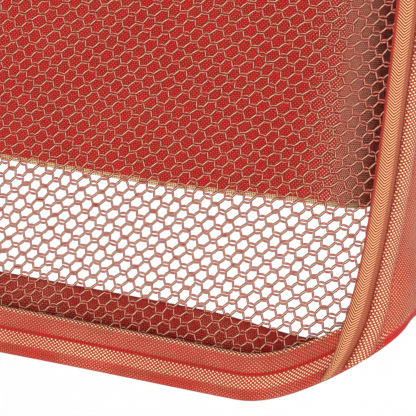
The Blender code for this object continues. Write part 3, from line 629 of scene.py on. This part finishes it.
def corner_tape(side, material):
    """A corner's upright tape, from under the rim down over the hem: two ridges and a crease."""
    section = np.array(TAPE_SECTION) * MM
    ahead, here = section[1:], section[:-1]
    section = np.stack([0.75 * here + 0.25 * ahead, 0.25 * here + 0.75 * ahead], axis=1)
    section = section.reshape(-1, 2)
    offset, proud = section[:, 0], section[:, 1]
    corner = SIDE_RUN * (side + 0.5)

    def strand_run(level):
        narrow = 1 - 0.42 * (1 - smooth((level - HEM_LOW - 8 * MM) / (20 * MM)))
        return corner + tape_middle(level) + offset * np.where(offset < 0, narrow, 1.0)

    # the foot's own place along the tray sets its level, so the two are settled by turns
    clear = TAPE_FOOT * (0.5 + 0.5 * smooth(0.5 + offset / (6 * MM)))
    foot = np.full(len(offset), HEM_LOW + 10 * MM)
    for _ in range(30):
        foot = 0.5 * foot + 0.5 * (HEM_LOW + hem_rise(strand_run(foot)) + clear)
    top = RIM_TOP - 4 * MM
    share = np.linspace(0, 1, 180)[:, None]
    level = foot + (top - foot) * share
    run = strand_run(level)
    over_hem = 1 - smooth((level - HEM_LOW - hem_rise(run) - 11 * MM) / (9 * MM))
    under_rim = smooth((level - RIM_TOP + 24 * MM) / (10 * MM))
    pinch = 1 - 0.85 * under_rim
    swell = 1 + 0.12 * np.sin(level / (7 * MM) + side) * (1 - under_rim)
    inset = 0.6 * MM - proud * pinch * swell - 1.5 * MM * over_hem + 0.4 * MM * under_rim
    # the cut end turns in under the tape
    tucked_level = foot + np.array([[0.1], [-0.3], [-0.2]]) * MM
    tucked_inset = inset[0] + np.array([[1.7], [0.9], [0.0]]) * MM
    level = np.concatenate([tucked_level, level])
    inset = np.concatenate([tucked_inset, inset])
    run = strand_run(np.maximum(level, foot))
    points = on_tray(run, inset, level)
    uv = np.stack(np.broadcast_arrays(level, offset[None, :]), axis=-1)
    tape = grid(f"corner_tape_piece_{side + 1}", points, uv)
    dress(tape, "tray", "red_binding", material, f"corner_tape_{side + 1}")
    return tape


def corner_panel(side, cloth, thread):
    """The solid panel past a corner tape, over the hem save for its rolled edge."""
    corner = SIDE_RUN * (side + 0.5)
    number = (side + 1) % 4 + 1
    end = PANEL_RUN / MM
    across = np.concatenate([[0, 0.4, 1.2], np.linspace(4, end + 3, 34), [end + 3.4]]) * MM
    share = np.linspace(0, 1, 90)[:, None]
    lowest = HEM_LOW + hem_rise(corner + across) + 3.4 * MM
    top = RIM_TOP - 5 * MM
    level = lowest + (top - lowest) * share
    shift = np.minimum(tape_middle(level) + 3.5 * MM, 3.5 * MM)
    run = corner + across + shift * np.clip(1 - across / (30 * MM), 0, 1)
    over_hem = 1 - smooth((level - lowest - 10 * MM) / (10 * MM))
    inset = 0.7 * MM - 2.2 * MM * over_hem
    inset[0] += 0.9 * MM
    inset[:, -1] += 1.0 * MM
    points = on_tray(run, inset, level)
    uv = np.stack(np.broadcast_arrays(run, level), axis=-1)
    panel = grid(f"corner_panel_piece_{number}", points, uv)
    dress(panel, "tray", "red_oxford", cloth, f"corner_panel_{number}")
    seam = corner + PANEL_RUN + 1.4 * MM
    heights = np.arange(HEM_LOW + HEM_RISE + 6 * MM, RIM_TOP - 16 * MM, STITCH_PITCH)
    places = np.full(len(heights), seam)
    row = stitches(f"panel_seam_{number}", places, 0.55 * MM, heights, on_tray, upright=True)
    dress(row, "tray", "red_binding", thread)
    return panel


# ---------------------------------------------------------------- tub and target band
def tub_lift(run):
    """How much the tub's lower edge is drawn up near each corner."""
    return 2.4 * MM * (1 - smooth((np.abs(past_corner(run)) - 8 * MM) / (60 * MM)))


def tub_wall(material):
    """The cloth tub: a hanging wall that flares out to the rim at its top."""
    flare_low, flare_high = RIM_TOP - 34 * MM, RIM_TOP - 12 * MM
    hanging = np.linspace(TUB_LOW - 1.2 * MM, flare_low, 36)
    levels = np.concatenate([hanging, np.linspace(flare_low, TUB_TOP, 16)[1:]])
    lean = smooth((levels - flare_low) / (flare_high - flare_low))
    insets = TUB_INSET + 0.5 * MM + (TUB_TOP_INSET - TUB_INSET) * lean
    count = int(AROUND / (4 * MM))
    runs = np.arange(count) * (AROUND / count)
    hang = np.clip((flare_low - levels) / (flare_low - TUB_LOW), 0, 1)
    points = in_tub(runs[:, None], insets[None, :], levels[None, :] + tub_lift(runs)[:, None] * hang)
    steps = np.hypot(np.diff(insets), np.diff(levels))
    v = np.concatenate([[0], np.cumsum(steps)])
    uv = np.stack(np.meshgrid(np.append(runs, AROUND), v, indexing="ij"), axis=-1)
    wall = grid("tub_wall_cloth", points, uv, wrap_u=True)
    dress(wall, "tray", "red_oxford", material, "tub_wall")
    return wall


def tub_floor(material):
    """The tub's floor: one sheet from the pole's eye out to the wall, with a slight sag."""
    count = 360
    share = np.concatenate([[0, 0.01], np.linspace(0.04, 1, 50)])
    runs = np.arange(count) * (AROUND / count)
    x, y = outline(runs, TUB_INSET + 0.9 * MM)
    edge = np.stack([x, y], axis=-1)
    angle = np.arctan2(y, x)
    eye = EYE_RADIUS * np.stack([np.cos(angle), np.sin(angle)], axis=-1)
    flat = eye[:, None] + (edge - eye)[:, None] * share[None, :, None]
    sag = -2.2 * MM * np.sin(math.pi * share) ** 2
    ripple = np.sin(flat[..., 0] * 70 + 1) * np.sin(flat[..., 1] * 55)
    crease = 0.5 * MM * ripple * np.sin(math.pi * share)
    lift = tub_lift(runs)[:, None] * share[None, :] ** 6
    level = FLOOR_LOW + 0.6 * MM + sag[None, :] + crease + lift
    points = np.concatenate([flat, level[..., None]], axis=-1)
    uv = np.concatenate([flat, flat[:1]])
    floor = grid("tub_floor_cloth", points, uv, wrap_u=True)
    dress(floor, "tray", "red_oxford", material, "tub_floor")
    return floor


def target_band(material, tape, thread):
    """The band round the top: a cloth strip between two bindings."""
    count = int(BAND_AROUND / (4 * MM))
    runs = np.arange(count) * (BAND_AROUND / count)
    levels = np.linspace(BAND_LOW + 4 * MM, BAND_TOP - 4 * MM, 24)
    points = on_band(runs[:, None], 2.4 * MM, levels[None, :])
    uv = np.stack(np.meshgrid(np.append(runs, BAND_AROUND), levels, indexing="ij"), axis=-1)
    band = grid("target_band_cloth", points, uv, wrap_u=True)
    dress(band, "mast", "red_oxford", material, "target_band")
    upper_profile = [(d, BAND_TOP / MM + h) for d, h in BAND_TAPE]
    upper = swept("band_upper_tape", upper_profile, BAND_AROUND, on_band)
    lower_profile = [(d, BAND_LOW / MM - h) for d, h in BAND_TAPE[::-1]]
    lower = swept("band_lower_tape", lower_profile, BAND_AROUND, on_band)
    for piece in (upper, lower):
        dress(piece, "mast", "red_binding", tape)
    count = int(BAND_AROUND / STITCH_PITCH)
    runs = np.arange(count) * (BAND_AROUND / count)
    for name, level in (("upper", BAND_TOP - 8.2 * MM), ("lower", BAND_LOW + 8.2 * MM)):
        row = stitches(f"band_{name}_seam", runs, -0.45 * MM, level, on_band)
        dress(row, "mast", "red_binding", thread)


# ---------------------------------------------------------------- chains
def chain(number, material):
    """A strand of oval links, each a quarter turn from the last, hanging along its curve."""
    azimuth = math.radians(22.5 + 45 * (number - 1))
    foot, head = 58 * MM, 165 * MM  # how far from the pole it ends and starts
    low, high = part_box(f"chain_{number}")[0].z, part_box(f"chain_{number}")[1].z
    t = np.linspace(0, 1, 400)
    reach = head + (foot - head) * t**1.8
    level = (high - 3 * MM) + (low - high + 5 * MM) * t
    path = np.stack([reach * math.cos(azimuth), reach * math.sin(azimuth), level], axis=-1)
    length = np.concatenate([[0], np.cumsum(np.linalg.norm(np.diff(path, axis=0), axis=1))])
    pitch, wire, width = 12.4 * MM, 1.2 * MM, 3.1 * MM
    count = int(length[-1] / pitch)
    at = (np.arange(count) + 0.5) * (length[-1] / count)
    centres = np.stack([np.interp(at, length, path[:, k]) for k in range(3)], axis=-1)
    beyond = np.stack([np.interp(at + 1 * MM, length, path[:, k]) for k in range(3)], axis=-1)
    ahead = beyond - centres
    ahead /= np.linalg.norm(ahead, axis=1, keepdims=True)
    side = np.array([-math.sin(azimuth), math.cos(azimuth), 0.0])
    turns, sides = 20, 8
    bend = np.arange(turns) * math.tau / turns
    straight = length[-1] / count / 2 + wire - width
    long_way = width * np.cos(bend) + straight * np.sign(np.round(np.cos(bend), 6))
    wide_way = width * np.sin(bend)
    roll = np.arange(sides) * math.tau / sides
    points = []
    for k in range(count):
        normal = np.cross(ahead[k], side)
        a, b = (side, normal) if k % 2 == 0 else (normal, side)
        centre = centres[k] + np.outer(long_way, ahead[k]) + np.outer(wide_way, a)
        out = np.outer(np.cos(bend), ahead[k]) + np.outer(np.sin(bend), a)
        section = out[:, None] * np.cos(roll)[:, None] + b * np.sin(roll)[:, None]
        points.append(centre[:, None] + wire * section)
    points = np.array(points)
    s, i, j = np.meshgrid(np.arange(count), np.arange(turns), np.arange(sides), indexing="ij")
    s, i, j = s.ravel(), i.ravel(), j.ravel()
    around = ((i, j), (i, j + 1), (i + 1, j + 1), (i + 1, j))
    faces = np.stack([(s * turns + a % turns) * sides + b % sides for a, b in around], axis=1)
    links = new_mesh(f"chain_links_{number}", points, faces)
    return dress(links, f"chain_{number}", "zinc_chain", material, f"chain_{number}")


# ---------------------------------------------------------------- stage, camera, light
def stage():
    """A pale floor, white surroundings and two soft lights."""
    size = 12.0
    corners = [(-size, -size, 0), (size, -size, 0), (size, size, 0), (-size, size, 0)]
    floor = new_mesh("floor", corners, [(0, 1, 2, 3)])
    s = Shader("pale_floor", roughness=0.9)
    s.colour((0.92, 0.92, 0.92, 1.0))
    floor.data.materials.append(s.material)
    world = bpy.data.worlds.new("studio")
    bpy.context.scene.world = world
    world.use_nodes = True
    background = world.node_tree.nodes["Background"]
    background.inputs["Color"].default_value = (1, 1, 1, 1)
    background.inputs["Strength"].default_value = 1.05
    softbox("key", (-0.2, -3.2, 0.9), 1.2, 26)
    softbox("fill", (1.9, -2.8, 1.1), 1.6, 34)
    bpy.context.scene.view_settings.view_transform = "Standard"


def softbox(name, place, size, power):
    """A square area light aimed at the tray."""
    light = bpy.data.lights.new(name, "AREA")
    light.size, light.energy = size, power
    lamp = bpy.data.objects.new(name, light)
    lamp.location = place
    lamp.rotation_euler = (Vector((0, 0, 0.7)) - lamp.location).to_track_quat("-Z", "Y").to_euler()
    bpy.context.scene.collection.objects.link(lamp)


def camera():
    """A close telephoto view of the tray's lower front-right corner."""
    azimuth, elevation, roll = math.radians(19), math.radians(13), math.radians(5.5)
    width, lens, sensor = 107 * MM, 200.0, 36.0
    x, y = outline(SIDE_RUN / 2, 0.0)
    corner = Vector((float(x), float(y), HEM_LOW))
    level = math.cos(elevation)
    back = Vector((math.sin(azimuth) * level, -math.cos(azimuth) * level, math.sin(elevation)))
    turn = (-back).to_track_quat("-Z", "Y") @ Matrix.Rotation(roll, 3, "Z").to_quaternion()
    right, up = turn @ Vector((1, 0, 0)), turn @ Vector((0, 1, 0))
    # the corner stands right of the middle and near the bottom of the view
    middle = corner - right * (0.389 * width) + up * (0.512 * width)
    data = bpy.data.cameras.new("camera")
    data.lens, data.sensor_width = lens, sensor
    data.clip_start, data.clip_end = 0.05, 50
    cam = bpy.data.objects.new("camera", data)
    cam.location = middle + back * (width * lens / sensor)
    cam.rotation_mode = "QUATERNION"
    cam.rotation_quaternion = turn
    bpy.context.scene.collection.objects.link(cam)
    bpy.context.scene.camera = cam


# ---------------------------------------------------------------- the object
def finish_frame():
    """Better finishes for the CAD nodes that keep their own shapes."""
    steel = metal("spring_steel", srgb(150, 152, 156), srgb(96, 98, 102), 0.35, 300)
    zinc = metal("zinc_hardware", srgb(206, 208, 212), srgb(150, 153, 158), 0.3, 420)
    powder = coated("black_powder_coat", srgb(38, 38, 40), srgb(20, 20, 22), 0.42, 900, 0.05 * MM)
    plastic = coated("black_plastic", srgb(34, 34, 36), srgb(22, 22, 24), 0.5, 1600, 0.03 * MM)
    rubber = coated("black_rubber", srgb(30, 30, 31), srgb(16, 16, 17), 0.8, 2200, 0.05 * MM)
    finishes = (
        (steel, ("rim_hoop", "hem_hoop", "band_hoop", "pole_stop_pin")),
        (zinc, ("leg_pin_", "chain_ring", "collector_ring")),
        (powder, ("lower_pole", "upper_pole", "tray_post_", "top_arm_", "leg_")),
        (plastic, ("base_hub", "pole_collar", "collar_knob", "tray_knob", "tray_hub", "top_hub",
                   "floor_grommet")),
        (rubber, ("foot_",)),
    )
    for name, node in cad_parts.items():
        for material, starts in finishes:
            if name.startswith(starts):
                node.data.materials.clear()
                node.data.materials.append(material)
                break


camera()
stage()
finish_frame()
yarn = net_material()
# hem_zones: strips across the hem's profile, each with more or fewer painted glints and its own ground
# colour. In the cloths below, the colour after the shade is that of their painted glints.
hem_zones = (
    (6.8 * MM, 8.4 * MM, 0.5, srgb(140, 30, 20)),
    (8.8 * MM, 13.4 * MM, -0.3, srgb(186, 50, 32)),
    (13.4 * MM, 14.8 * MM, -0.8, RED),
    (14.8 * MM, 18.2 * MM, 0.3, None),
    (18.4 * MM, 23.2 * MM, -0.35, srgb(192, 40, 22)),
    (23.2 * MM, 90 * MM, -0.4, RED),
)
hem_cloth = woven(
    "hem_tape_weave", BINDING_RED, srgb(84, 4, 2), SAND, 0.55, thread=0.48 * MM, wide=1.17,
    zones=hem_zones, under_panel=BRIGHT_RED,
)
rim_cloth = woven("rim_tape_weave", BINDING_RED, MAROON, SAND, 0.55, thread=0.48 * MM, wide=1.17)
oxford = woven("oxford_cloth", srgb(196, 40, 26), MAROON, srgb(240, 176, 128), 0.75, thread=0.48 * MM)
# the tub's cloth: the cream strip along its lower edge is a painted glow, and near the tray's corners
# it gets more and paler painted glints
tub_cloth = woven(
    "tub_cloth", srgb(230, 12, 8), srgb(76, 2, 2), srgb(244, 104, 82), 0.5, thread=0.52 * MM,
    zones=((-1 * MM, 1.3 * MM, -1.0, srgb(255, 214, 160)),), corners=srgb(255, 216, 180),
)
tape = tape_material("corner_tape_weave", TAPE_EDGE, TAPE_CHEVRON, TAPE_BAND, 0.0, TAPE_RIDGE)
red_thread = thread_material("red_thread", BRIGHT_RED)
for side in range(4):
    net_wall(side, yarn)
    corner_tape(side, tape)
    corner_panel(side, oxford, red_thread)
hem = swept("hem_tape", HEM_TAPE, AROUND, hem_place)
dress(hem, "tray", "red_binding", hem_cloth, "hem_binding")
rim_profile = [(d, RIM_TOP / MM + h) for d, h in RIM_TAPE]
rim = swept("rim_tape", rim_profile, AROUND, on_tray)
dress(rim, "tray", "red_binding", rim_cloth, "rim_binding")
tub_wall(tub_cloth)
tub_floor(oxford)
target_band(oxford, rim_cloth, red_thread)
chain_zinc = metal("zinc_chain", srgb(214, 216, 220), srgb(160, 163, 168), 0.26, 900)
for number in range(1, 9):
    chain(number, chain_zinc)
